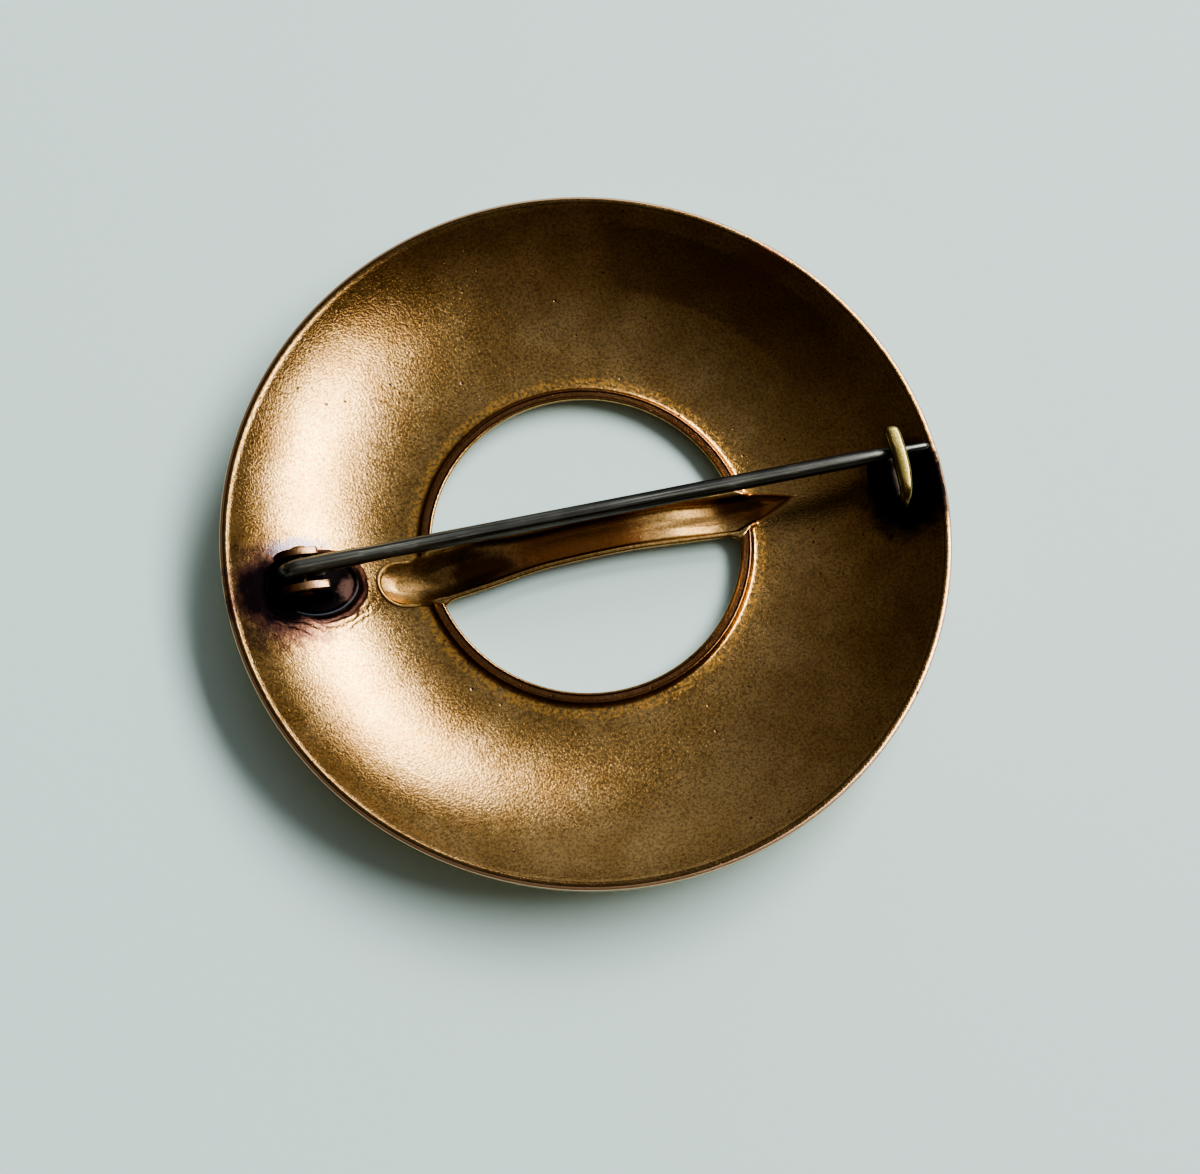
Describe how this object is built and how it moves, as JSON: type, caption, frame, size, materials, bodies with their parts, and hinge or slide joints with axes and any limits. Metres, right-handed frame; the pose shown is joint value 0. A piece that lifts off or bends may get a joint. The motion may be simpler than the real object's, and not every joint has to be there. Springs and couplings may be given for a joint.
{
  "type": "circle brooch",
  "caption": "Round dished cast brooch with a hollow bar across its open centre, and on its back a hinged steel pin and a brass catch.",
  "frame": {"origin": "on the ring's axis, in the plane that the front of the brooch rests on", "axes": "+Z points out of the back of the brooch, +X runs along the closed pin from its hinge to its point"},
  "size_m": [0.046, 0.046, 0.0066],
  "materials": {
    "bronze": "satin cast bronze, smoke-dark in places",
    "brass": "satin, clean",
    "rivet_brass": "dull, darkened by heat",
    "steel": "drawn wire, satin"
  },
  "bodies": {
    "brooch": {"dish": "bronze", "catch_hook": "brass"},
    "rivet": {"hinge_rivet": "rivet_brass"},
    "pin": {"pin_stem": "steel"}
  },
  "joints": [
    {"name": "pin_side_play", "type": "hinge", "parent": "brooch", "child": "rivet", "pos_m": [-0.0181, 0.00066, 0.0044], "axis": [0, 0, 1], "range_deg": [0, 3.4]},
    {"name": "pin_swing", "type": "hinge", "parent": "rivet", "child": "pin", "pos_m": [-0.0181, 0.00066, 0.0044], "axis": [0, -1, 0], "range_deg": [0, 140]}
  ]
}
